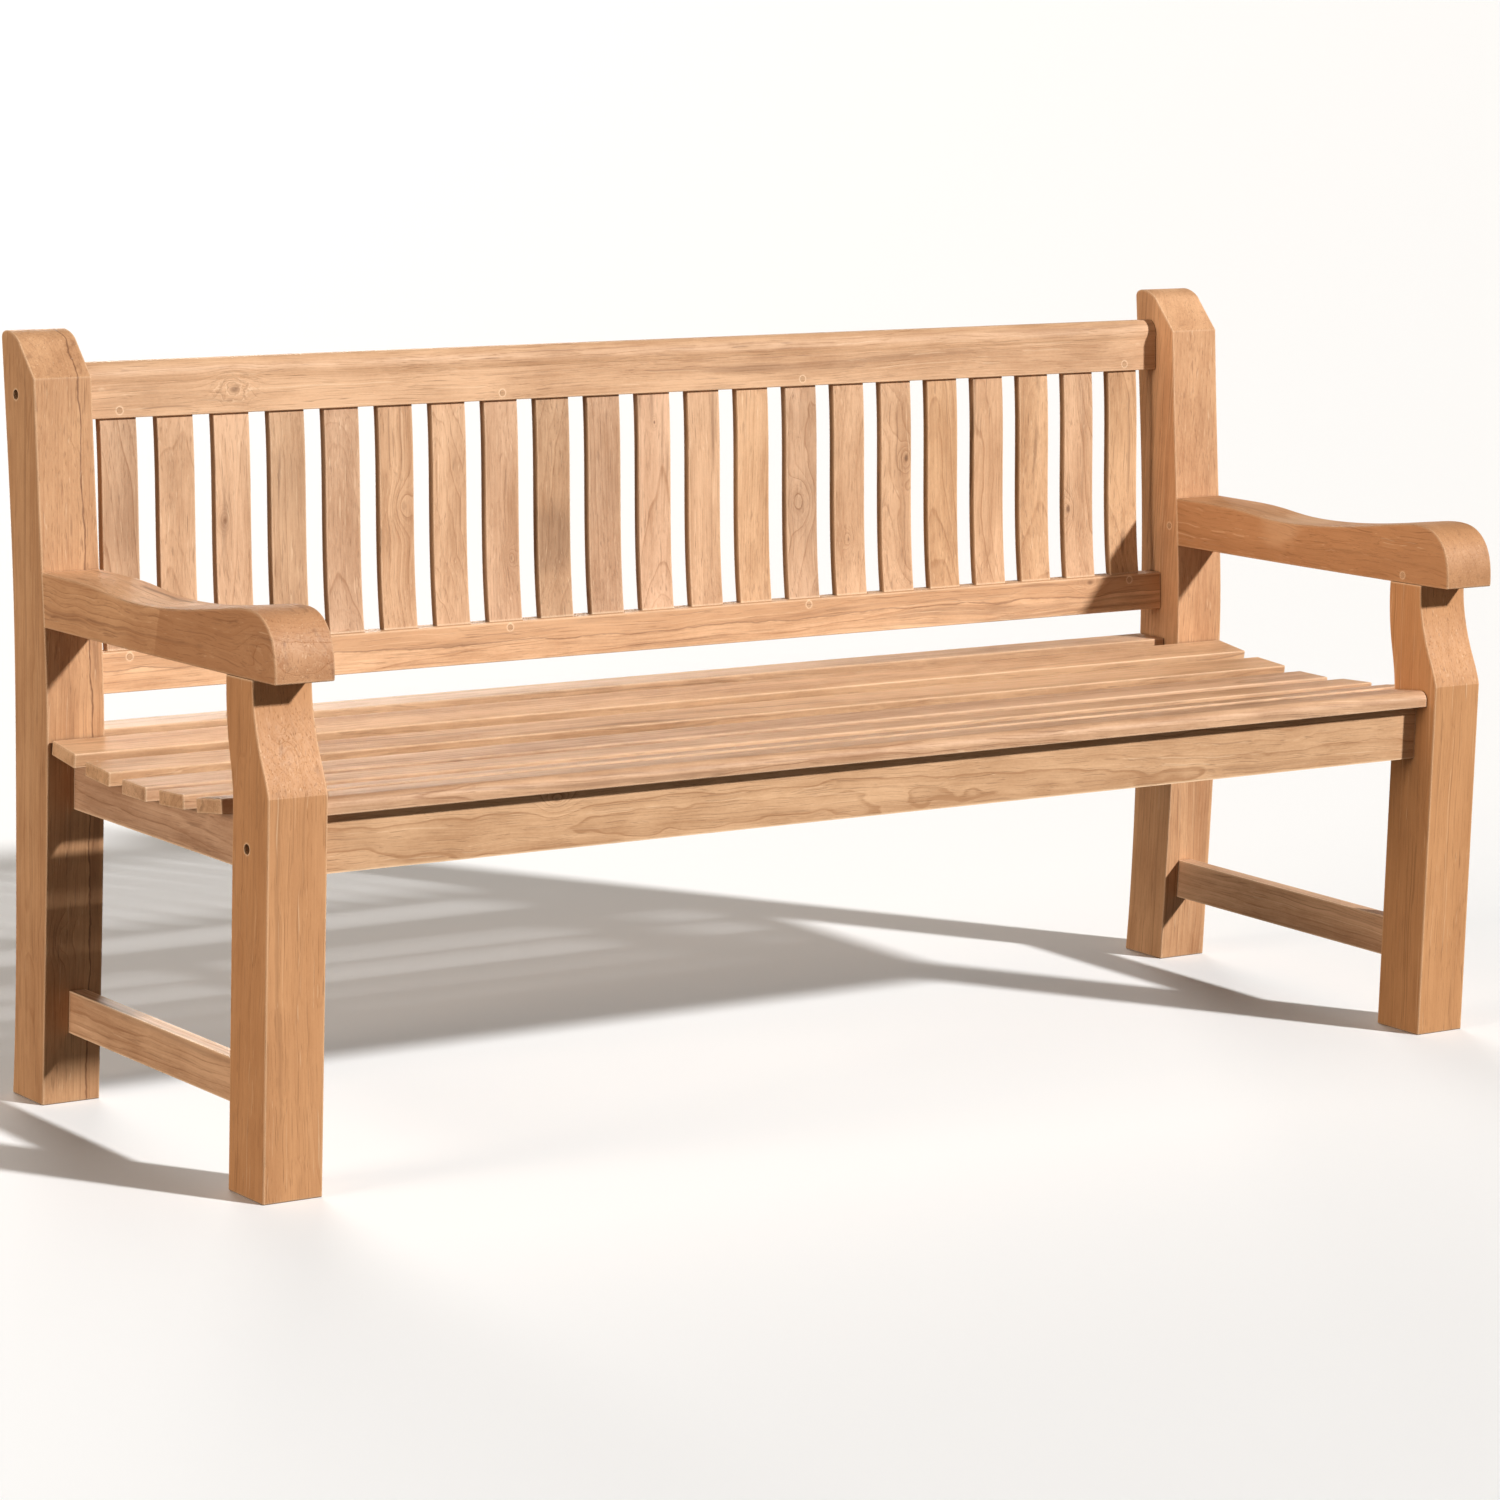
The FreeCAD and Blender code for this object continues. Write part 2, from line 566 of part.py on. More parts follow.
def all_pieces():
    """Every piece of the bench by node name."""
    pieces = {}
    pieces.update(pair("back_leg", right_back_leg()))
    pieces.update(pair("front_leg", right_front_leg()))
    pieces.update(pair("arm", right_arm()))
    pieces.update(pair("side_seat_rail", right_side_rail()))
    pieces.update(pair("side_stretcher", right_stretcher()))
    pieces["top_rail"] = top_rail()
    pieces["lower_back_rail"] = back_rail(LOWER_RAIL_OUTLINE, LOWER_RAIL_TENON)
    for number in range(1, BACK_SLAT_COUNT + 1):
        pieces["back_slat_%02d" % number] = back_slat(number)
    pieces["seat_slat_1"] = seat_slat(slat_outline(REAR_SLAT_TOP), SHORT_SLAT_HALF_LENGTH)
    for number, top in enumerate(FULL_SLAT_TOPS, start=2):
        pieces["seat_slat_%d" % number] = seat_slat(slat_outline(top), FULL_SLAT_HALF_LENGTH)
    pieces["seat_slat_7"] = seat_slat(FRONT_SLAT_OUTLINE, SHORT_SLAT_HALF_LENGTH)
    pieces["front_apron"] = front_apron()
    pieces["rear_seat_rail"] = rear_seat_rail()
    pieces["centre_seat_bearer"] = centre_seat_bearer()
    bolts = (APRON_BOLT, TOP_RAIL_BOLT)
    pieces["frame_bolts"] = both_sides([bolt(centre) for centre in bolts])
    pieces["barrel_nuts"] = both_sides([barrel_nut(centre) for centre in bolts])
    pieces["arm_pegs"] = both_sides(arm_pegs())
    pieces["slat_pegs"] = Part.makeCompound(slat_pegs())
    pieces["seat_dowels"] = Part.makeCompound(dowels(0.0))
    return pieces


def main():
    """Write every piece to its own file, with the origin under the middle of the bench."""
    os.makedirs("parts", exist_ok=True)
    for name, shape in all_pieces().items():
        shape.translate(Vector(0, -MIDDLE_DEPTH, 0))
        shape.exportStep("parts/%s.step" % name)
        print(name, "valid" if shape.isValid() else "NOT VALID", len(shape.Solids), round(shape.Volume))


main()
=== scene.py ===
"""Looks for the garden bench: bare teak, dull steel bolts, a pale floor and studio light."""
import math
import random
import bpy
from mathutils import Euler, Matrix, Vector


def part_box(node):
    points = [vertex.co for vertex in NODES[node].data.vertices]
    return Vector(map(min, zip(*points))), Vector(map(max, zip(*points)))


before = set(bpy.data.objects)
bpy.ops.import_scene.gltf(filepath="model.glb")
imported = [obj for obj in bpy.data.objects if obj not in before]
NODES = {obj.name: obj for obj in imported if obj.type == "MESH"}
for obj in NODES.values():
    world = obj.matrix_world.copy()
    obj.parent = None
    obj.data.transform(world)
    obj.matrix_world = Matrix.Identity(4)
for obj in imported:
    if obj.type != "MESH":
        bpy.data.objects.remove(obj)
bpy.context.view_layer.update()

RANDOM = random.Random(852)

# Camera: where the bench is seen from
CAMERA_PLACE = (-3.738, -5.167, 1.521)
CAMERA_AZIMUTH = 35.648
CAMERA_PITCH = -10.05
CAMERA_ROLL = 1.652
CAMERA_LENS = 125.23
SENSOR_WIDTH = 36.0

# Light: a key from the front right, broad fills from the left and the rear, and a faint sky
KEY_DIRECTION = (0.474, -0.73, 0.492)
KEY_STRENGTH = 4.6
KEY_SOFTNESS = 3.5
KEY_COLOUR = (1.0, 0.96, 0.90)
FILL_DIRECTION = (-1.0, -0.03, 0.17)
FILL_STRENGTH = 2.35
FILL_SOFTNESS = 24.0
FILL_COLOUR = (1.0, 0.83, 0.66)
REAR_DIRECTION = (0.35, 1.0, 0.16)
REAR_STRENGTH = 2.6
REAR_SOFTNESS = 30.0
REAR_COLOUR = (1.0, 0.93, 0.84)
SKY_STRENGTH = 0.10
SKY_COLOUR = (1.0, 0.92, 0.82)
BACKDROP_COLOUR = (1.0, 1.0, 1.0)
FLOOR_COLOUR = (0.90, 0.94, 1.0)
FLOOR_BOUNCE = (0.11, 0.10, 0.08)
FLOOR_HALF_SIZE = 200.0

# The kinds of teak, each as its light, dark and streak colour
TEAKS = {
    "pale": ((0.67, 0.435, 0.28), (0.40, 0.22, 0.12), (0.17, 0.085, 0.045)),
    "pink": ((0.69, 0.44, 0.285), (0.42, 0.23, 0.13), (0.18, 0.09, 0.05)),
    "honey": ((0.61, 0.32, 0.155), (0.41, 0.19, 0.08), (0.17, 0.075, 0.03)),
    "arm": ((0.66, 0.39, 0.225), (0.38, 0.18, 0.085), (0.16, 0.065, 0.03)),
}
PALE_FIBRE = (1.0, 0.80, 0.58)

# How far each kind's tones part from its mean tone
CONTRAST = {"pale": 0.85, "pink": 1.0, "honey": 0.55, "arm": 0.65}

# The kind of teak, the lightness and the warmth of each board
BOARD_TONES = {
    "back_leg_left": ("arm", 0.87, 0.04), "back_leg_right": ("arm", 1.0, 0.04),
    "front_leg_left": ("honey", 0.93, 0.0), "front_leg_right": ("honey", 0.94, 0.03),
    "arm_left": ("arm", 1.02, 0.0), "arm_right": ("honey", 0.89, 0.0),
    "side_seat_rail": ("pink", 0.88, -0.04), "side_stretcher": ("pink", 0.95, 0.0),
    "top_rail": ("pale", 1.0, 0.0), "lower_back_rail": ("pale", 1.14, 0.02),
    "front_apron": ("pale", 1.0, 0.07),
    "seat_slat_1": ("pink", 0.89, 0.09), "seat_slat": ("pink", 0.93, 0.05),
}

# The lightness and the warmth of each back slat
SLAT_TONES = [
    (0.84, 0.0), (0.99, 0.03), (1.02, -0.02), (0.85, 0.0), (0.94, -0.03), (1.0, 0.02), (0.99, -0.02),
    (1.0, -0.02), (0.82, 0.05), (0.92, -0.04), (1.07, -0.05), (0.99, -0.01), (1.0, 0.06), (0.92, 0.0),
    (1.0, 0.04), (0.97, 0.05), (0.99, 0.06), (1.04, 0.05), (1.0, 0.08), (1.02, 0.05), (0.94, 0.06),
]

# Knots, patches and two-tone boards, in metres from the board's middle: along it, then across it twice
FIGURES = {
    "top_rail": {"knot": (-0.612, 0.0, -0.005), "knot_radius": 0.0062, "knot_heart": 0.8, "loops": 0.55,
                 "pith": (0.0, -0.02, 0.09), "ring_amount": 0.5},
    "lower_back_rail": {"zone_start": 0.001, "zone_amount": 0.55, "border": 0.7, "knot": (0.70, 0.0, 0.018),
                        "knot_radius": 0.005, "ring_amount": 0.5},
    "front_apron": {"knot": (-0.50, 0.0, 0.024), "knot_radius": 0.004, "pith": (0.0, 0.05, -0.02),
                    "ring_amount": 0.95, "curl": 0.35},
    "back_leg_left": {"zone_side": (0.0, 0.0, -1.0), "zone_start": 0.021, "zone_amount": 0.2,
                      "border": 1.0, "knot": (-0.257, 0.0, 0.015), "knot_radius": 0.005},
    "front_leg_left": {"knot": (0.19, 0.0, 0.0), "knot_radius": 0.005, "knot_heart": 0.4, "loops": 0.2,
                       "curl": 0.3},
    "arm_left": {"knot": (-0.26, 0.0, 0.0), "knot_radius": 0.009, "knot_heart": 0.15, "loops": 0.16,
                 "curl": 0.6, "streak_amount": 0.6,
                 "zone_side": (-0.97, 0.0, -0.2), "zone_start": 0.02, "zone_amount": 0.7},
    "arm_right": {"streak_amount": 0.2, "curl": 0.5, "patch": (0.04, 0.0, 0.02), "patch_amount": -0.5},
    "back_slat_01": {"patch": (0.02, 0.0, 0.0), "patch_amount": 0.35},
    "back_slat_03": {"knot": (0.008, 0.0, 0.012), "knot_radius": 0.003, "knot_heart": 0.5},
    "back_slat_04": {"streak_amount": 0.9, "patch": (0.05, 0.0, 0.0), "patch_amount": 0.3},
    "back_slat_06": {"knot": (0.012, 0.0, -0.010), "knot_radius": 0.005, "knot_heart": 0.25, "curl": 0.5},
    "back_slat_07": {"curl": 0.45},
    "back_slat_08": {"knot": (-0.06, 0.0, -0.012), "knot_radius": 0.003, "knot_heart": 0.5, "curl": 0.3},
    "back_slat_09": {"patch": (-0.035, 0.0, 0.004), "patch_amount": 1.0, "curl": 0.5},
    "back_slat_10": {"patch": (0.02, 0.0, 0.0), "patch_amount": 0.3},
    "back_slat_11": {"knot": (0.10, 0.0, 0.0), "knot_radius": 0.0018},
    "back_slat_14": {"knot": (-0.015, 0.0, 0.0), "knot_radius": 0.006, "knot_heart": 0.2, "curl": 0.6,
                     "patch": (-0.02, 0.0, 0.0), "patch_amount": 0.4},
    "back_slat_15": {"knot": (-0.066, 0.0, 0.002), "knot_radius": 0.003},
    "back_slat_16": {"knot": (0.036, 0.0, -0.016), "knot_radius": 0.004, "curl": 0.6},
    "back_slat_18": {"streak_amount": 0.8, "curl": 0.3},
    "back_slat_20": {"knot": (-0.045, 0.0, 0.018), "knot_radius": 0.005, "curl": 0.3},
    "back_slat_21": {"streak_amount": 0.6},
}
NOWHERE = (9.0, 9.0, 9.0)
NEVER = 9.0

# How the grain wanders: how much each noise is squeezed along and across the board, its detail, its reach
WANDERS = (((1.6, 8.0, 8.0), 2.0, 0.034), ((8.0, 45.0, 45.0), 2.0, 0.004))
CURL = ((16.0, 30.0, 30.0), 1.0, 0.022)
PLAIN_CURL = 0.15
NOISE_MIDDLE = (0.5, 0.5, 0.5)

# Knots: their shape, how the grain parts round them, and the loops
KNOT_SHAPE = (0.62, 0.2, 1.0)
KNOT_FADE = 0.10
KNOT_PARTING = 0.7
KNOT_RINGS = 4.0
KNOT_RING_BOOST = 1.6
PLAIN_KNOT_RADIUS = 0.004
HEART_EDGE = (0.35, 1.0)
HEART_DEPTH = 0.85
PLAIN_LOOPS = 0.12
LOOP_WOBBLE = ((48.0, 70.0, 70.0), 3.0, 0.6, 3.4)
LOOP_FADE = (4.6, 1.6)
DARK_LOOP_START = (0.55, 0.85)
DARK_LOOP_END = (0.88, 1.0)
LIGHT_LOOP = 0.12
LIGHT_LOOP_EDGE = (0.10, 0.03)

# Growth rings, in ring widths
RING_UNEVEN_RATE = 0.31
RING_UNEVEN = 2.4
RING_LINE_START = (0.78, 0.94)
RING_LINE_END = (0.96, 1.0)
RING_FADE_END = 0.9
RING_FADE = 0.35
WEAKEST_RING = 0.15

# Noises of tone: what each follows, how much it is squeezed, its detail, its roughness and its weight
TONE_NOISES = {
    "fine": ("grain", (9.0, 460.0, 460.0), 3.0, 0.6, 0.8),
    "speckle": ("board", (220.0, 430.0, 430.0), 2.0, 0.6, 0.4),
    "fibre": ("grain", (3.0, 190.0, 190.0), 3.0, 0.6, 0.7),
    "band": ("grain", (1.0, 40.0, 40.0), 3.0, 0.55, 1.4),
    "broad": ("grain", (0.8, 12.0, 12.0), 1.0, 0.5, 1.3),
    "blotch": ("board", (10.0, 26.0, 26.0), 4.0, 0.6, 1.3),
    "mottle": ("board", (6.0, 17.0, 17.0), 3.0, 0.6, 1.1),
}
MEAN_TONE = 0.32

# Thin marks along the grain: how much each is squeezed, its detail, its roughness, where it fades in
MARK_NOISES = {
    "pore": ((14.0, 760.0, 760.0), 1.0, 0.5, (0.60, 0.74)),
    "dark_hair": ((1.3, 400.0, 400.0), 2.0, 0.5, (0.61, 0.70)),
    "light_hair": ((1.2, 380.0, 390.0), 2.0, 0.5, (0.35, 0.27)),
    "streak": ((0.7, 70.0, 70.0), 2.0, 0.55, (0.56, 0.74)),
}
# The marks in the order they are painted, how strongly and in which colour; a patch below 0 is a pale one
MARK_TINTS = (
    ("zone", 0.85, "dark"), ("border", 0.8, "streak"), ("patch", 0.36, "streak"),
    ("dark_loop", 0.5, "streak"), ("streak", 1.0, "streak"), ("pore", 0.22, "streak"),
    ("dark_hair", 0.36, "streak"), ("patch", -0.4, "pale"), ("light_hair", 0.30, "pale"),
    ("light_loop", 0.55, "pale"), ("heart", 1.0, "streak"),
)
PALE_SHARE = 0.65

# The second tone and the patch of a board, in metres
ZONE_FOLLOWS = 0.4
ZONE_WAVE = 0.018
ZONE_EDGE = (-0.0012, 0.0022)
BORDER_WIDTH = 0.0016
PATCH_SHAPE = (0.5, 0.2, 0.45)
PATCH_RAGGED = 0.05
PATCH_EDGE = (0.055, 0.036)

# Light lines on sharp edges, partly wear and partly a painted highlight, and dark ones in joints, painted
# shade with a little dirt
ARRIS_WIDTH = 0.0028
ARRIS_RANGE = (0.50, 0.95)
PLAIN_ARRIS = 0.95
CREASE_WIDTH = 0.007
CREASE_RANGE = (0.75, 0.2)
CREASE_DEPTH = 0.75
NEARNESS_SAMPLES = 4

# Relief and gloss
FIBRE_RELIEF = 0.6
FINE_RELIEF = 0.5
PORE_HOLLOW = 0.7
RING_HOLLOW = 0.3
RELIEF_STRENGTH = 0.55
RELIEF_DEPTH = 0.0007
ROUGHNESS_LEAST = 0.42
ROUGHNESS_SWING = 0.28
PORE_ROUGHNESS = 0.15
WOOD_SPECULAR = 0.3

# How boards differ by chance: the tilt of the grain, where in the tree they were sawn, and their figure
GRAIN_TILT = 0.03
SAWN_FROM = (5, 40)
PITH_REACH = (0.04, 0.14)
WARMTH_SPREAD = 0.04
WARMTH_IN_RED = 0.3
RING_WIDTHS = (0.004, 0.008)
RING_AMOUNTS = (0.45, 0.9)
STREAK_AMOUNTS = (0.1, 0.5)

# Pegs and steel
PEG_LIGHTNESS = 0.84
PEG_WARMTH = 0.05
PEG_FIGURE = {
    "ring_width": 0.002, "ring_amount": 0.5, "streak_amount": 0.1, "contrast": 0.8, "arris": 0.0,
}
STEEL_COLOUR = (0.34, 0.31, 0.27)
GRIME_COLOUR = (0.12, 0.10, 0.08)
GRIME_SCALE = (260.0, 260.0, 260.0)
GRIME_EDGE = (0.4, 0.65)
GRIME_DETAIL = 4.0
GRIME_FINENESS = 0.6
STEEL_ROUGHNESS = (0.35, 0.65)
GLOSS_EDGE = (0.3, 0.7)
STEEL_METALLIC = 0.9
FLOOR_ROUGHNESS = 0.85

# Which way each piece's grain runs
GRAIN_ALONG = {
    "back_leg": "Z", "front_leg": "Z", "back_slat": "Z",
    "arm_left": "Y", "arm_right": "Y", "side_seat_rail": "Y", "side_stretcher": "Y",
    "centre_seat_bearer": "Y",
    "top_rail": "X", "lower_back_rail": "X", "front_apron": "X", "rear_seat_rail": "X", "seat_slat": "X",
}
GRAIN_TURN = {"X": (0, 0, 0), "Y": (0, 0, -math.pi / 2), "Z": (0, math.pi / 2, 0)}


# ---- node helpers ------------------------------------------------------------------------

class Graph:
    """A node tree with short calls for the nodes that wood needs."""

    def __init__(self, tree):
        self.tree = tree

    def node(self, kind, inputs=(), **settings):
        """A node with its settings and inputs, each a value or another node's socket."""
        made = self.tree.nodes.new(kind)
        for name, value in settings.items():
            setattr(made, name, value)
        for key, value in dict(inputs).items():
            if isinstance(value, bpy.types.NodeSocket):
                self.tree.links.new(value, made.inputs[key])
            else:
                made.inputs[key].default_value = value
        return made

    def math(self, operation, *values, clamp=False):
        """One math node's output."""
        made = self.node("ShaderNodeMath", enumerate(values), operation=operation, use_clamp=clamp)
        return made.outputs[0]

    def vector(self, operation, *values):
        """One vector math node's vector output."""
        made = self.node("ShaderNodeVectorMath", enumerate(values), operation=operation)
        return made.outputs["Vector"]

    def distance(self, first, second):
        """How far apart two points are."""
        made = self.node("ShaderNodeVectorMath", enumerate((first, second)), operation="DISTANCE")
        return made.outputs["Value"]

    def scaled(self, point, factors):
        """A point stretched by three factors."""
        return self.vector("MULTIPLY", point, factors)

    def noise(self, point, detail=2.0, roughness=0.5):
        """Fractal noise at a point, as a value about 0.5."""
        inputs = {"Vector": point, "Scale": 1.0, "Detail": detail, "Roughness": roughness}
        return self.node("ShaderNodeTexNoise", inputs).outputs["Fac"]

    def noise_colour(self, point, detail):
        """Three fractal noises at a point."""
        inputs = {"Vector": point, "Scale": 1.0, "Detail": detail}
        return self.node("ShaderNodeTexNoise", inputs).outputs["Color"]

    def ramp(self, value, low, high, low_out=0.0, high_out=1.0):
        """A value taken from one range to another, with soft ends."""
        inputs = {"Value": value, "From Min": low, "From Max": high, "To Min": low_out, "To Max": high_out}
        return self.node("ShaderNodeMapRange", inputs, interpolation_type="SMOOTHSTEP").outputs["Result"]

    def mix(self, factor, first, second):
        """Two colours mixed."""
        made = self.node("ShaderNodeMix", (), data_type="RGBA", blend_type="MIX")
        for key, value in (("Factor_Float", factor), ("A_Color", first), ("B_Color", second)):
            socket = next(item for item in made.inputs if item.identifier == key)
            if isinstance(value, bpy.types.NodeSocket):
                self.tree.links.new(value, socket)
            else:
                socket.default_value = value
        return next(item for item in made.outputs if item.identifier == "Result_Color")


def opaque(colour):
    """A colour with full alpha."""
    return (*colour, 1.0)


# ---- teak --------------------------------------------------------------------------------

TEAK_INPUTS = (
    ("Point", "NodeSocketVector"), ("Pith", "NodeSocketVector"), ("Ring width", "NodeSocketFloat"),
    ("Light", "NodeSocketColor"), ("Dark", "NodeSocketColor"), ("Streak", "NodeSocketColor"),
    ("Ring amount", "NodeSocketFloat"), ("Streak amount", "NodeSocketFloat"),
    ("Curl amount", "NodeSocketFloat"),
    ("Knot", "NodeSocketVector"), ("Knot radius", "NodeSocketFloat"), ("Knot heart", "NodeSocketFloat"),
    ("Zone side", "NodeSocketVector"), ("Zone start", "NodeSocketFloat"), ("Zone amount", "NodeSocketFloat"),
    ("Patch", "NodeSocketVector"), ("Patch amount", "NodeSocketFloat"), ("Border amount", "NodeSocketFloat"),
    ("Loop amount", "NodeSocketFloat"), ("Contrast", "NodeSocketFloat"), ("Arris amount", "NodeSocketFloat"),
)
TEAK_OUTPUTS = (
    ("Color", "NodeSocketColor"), ("Roughness", "NodeSocketFloat"), ("Height", "NodeSocketFloat"),
)


def wandering_grain(graph, given):
    """The point in the straight tree that this point of the board was, and how near it is to the knot."""
    point = given["Point"]
    wood = point
    for squeeze, detail, reach in WANDERS:
        sway = graph.noise_colour(graph.scaled(point, squeeze), detail)
        sway = graph.vector("SUBTRACT", sway, NOISE_MIDDLE)
        wood = graph.vector("ADD", wood, graph.scaled(sway, (0.0, reach, reach)))
    squeeze, detail, reach = CURL
    curl = graph.noise_colour(graph.scaled(point, squeeze), detail)
    curl = graph.vector("SUBTRACT", curl, NOISE_MIDDLE)
    across = {1: given["Curl amount"], 2: given["Curl amount"]}
    amount = graph.node("ShaderNodeCombineXYZ", across).outputs[0]
    amount = graph.scaled(amount, (0.0, reach, reach))
    wood = graph.vector("ADD", wood, graph.vector("MULTIPLY", curl, amount))

    from_knot = graph.vector("SUBTRACT", point, given["Knot"])
    share = graph.distance(graph.scaled(from_knot, KNOT_SHAPE), (0, 0, 0))
    share = graph.math("DIVIDE", share, given["Knot radius"])
    near = graph.math("MULTIPLY", graph.math("MULTIPLY", share, share), -KNOT_FADE)
    near = graph.math("EXPONENT", near)
    parting = graph.math("MULTIPLY", near, -KNOT_PARTING)
    parted = graph.node("ShaderNodeCombineXYZ", {2: parting}).outputs[0]
    wood = graph.vector("ADD", wood, graph.vector("MULTIPLY", from_knot, parted))
    return wood, share, near


def growth_rings(graph, given, wood, near):
    """Thin dark lines at uneven spacing round the pith, and the slow fade before each."""
    radius = graph.distance(graph.scaled(wood, (0.0, 1.0, 1.0)), given["Pith"])
    turn = graph.math("DIVIDE", radius, given["Ring width"])
    along_radius = graph.math("MULTIPLY", turn, RING_UNEVEN_RATE)
    uneven = graph.noise(graph.node("ShaderNodeCombineXYZ", {0: along_radius}).outputs[0], 1.0)
    turn = graph.math("ADD", turn, graph.math("MULTIPLY", uneven, RING_UNEVEN))
    turn = graph.math("ADD", turn, graph.math("MULTIPLY", near, KNOT_RINGS))
    part = graph.math("FRACT", turn)
    line = graph.math("MULTIPLY", graph.ramp(part, *RING_LINE_START),
                      graph.ramp(part, *RING_LINE_END, 1.0, 0.0))
    fade = graph.ramp(part, 0.0, RING_FADE_END, 0.0, RING_FADE)
    pick = graph.node("ShaderNodeTexWhiteNoise", {"W": graph.math("FLOOR", turn)}, noise_dimensions="1D")
    strength = graph.math("MULTIPLY_ADD", pick.outputs["Value"], 1.0 - WEAKEST_RING, WEAKEST_RING)
    ring = graph.math("MULTIPLY", graph.math("MAXIMUM", line, fade), strength)
    return graph.math("MULTIPLY", ring, graph.math("MULTIPLY_ADD", near, KNOT_RING_BOOST, 1.0))


def knot_loops(graph, given, knot_share):
    """Dark and light loops of grain round the knot."""
    squeeze, detail, roughness, amount = LOOP_WOBBLE
    wobble = graph.noise(graph.scaled(given["Point"], squeeze), detail, roughness)
    wobble = graph.math("MULTIPLY", wobble, amount)
    loop = graph.math("FRACT", graph.math("ADD", knot_share, wobble))
    round_knot = graph.math("MULTIPLY", graph.ramp(knot_share, *LOOP_FADE), given["Loop amount"])
    dark = graph.math("MULTIPLY", graph.ramp(loop, *DARK_LOOP_START),
                      graph.ramp(loop, *DARK_LOOP_END, 1.0, 0.0))
    off_line = graph.math("ABSOLUTE", graph.math("SUBTRACT", loop, LIGHT_LOOP))
    light = graph.ramp(off_line, *LIGHT_LOOP_EDGE)
    return graph.math("MULTIPLY", dark, round_knot), graph.math("MULTIPLY", light, round_knot)


def second_tone(graph, given, wood, blotch):
    """The board's second tone beyond a wavy line, that line itself, and one soft patch."""
    point = given["Point"]
    shift = graph.scaled(graph.vector("SUBTRACT", wood, point), (ZONE_FOLLOWS,) * 3)
    near_point = graph.vector("ADD", point, shift)
    side = graph.node("ShaderNodeVectorMath", {0: near_point, 1: given["Zone side"]},
                      operation="DOT_PRODUCT")
    wave = graph.math("MULTIPLY", graph.math("SUBTRACT", blotch, 0.5), ZONE_WAVE)
    beyond = graph.math("SUBTRACT", side.outputs["Value"], given["Zone start"])
    beyond = graph.math("ADD", beyond, wave)
    zone = graph.math("MULTIPLY", graph.ramp(beyond, *ZONE_EDGE), given["Zone amount"])
    border = graph.ramp(graph.math("ABSOLUTE", beyond), BORDER_WIDTH, 0.0)
    border = graph.math("MULTIPLY", border, given["Border amount"])
    from_patch = graph.scaled(graph.vector("SUBTRACT", near_point, given["Patch"]), PATCH_SHAPE)
    reach = graph.distance(from_patch, (0, 0, 0))
    reach = graph.math("ADD", reach, graph.math("MULTIPLY", blotch, PATCH_RAGGED))
    patch = graph.math("MULTIPLY", graph.ramp(reach, *PATCH_EDGE), given["Patch amount"])
    return zone, border, patch


def arris_wear_and_highlight(graph):
    """How near a sharp outer edge is, from 0 to 1; it lightens the edges, partly as wear and partly as a
    painted highlight.
    """
    inside = graph.node("ShaderNodeAmbientOcclusion", {"Distance": ARRIS_WIDTH}, inside=True,
                        only_local=True, samples=NEARNESS_SAMPLES)
    return graph.ramp(inside.outputs["AO"], *ARRIS_RANGE, 1.0, 0.0)


def crease_shade_and_dirt(graph):
    """How deep in a joint line a point is, from 0 to 1; it darkens joints and creases as painted shade with a
    little dirt.
    """
    outside = graph.node("ShaderNodeAmbientOcclusion", {"Distance": CREASE_WIDTH},
                         samples=NEARNESS_SAMPLES)
    return graph.ramp(outside.outputs["AO"], *CREASE_RANGE)


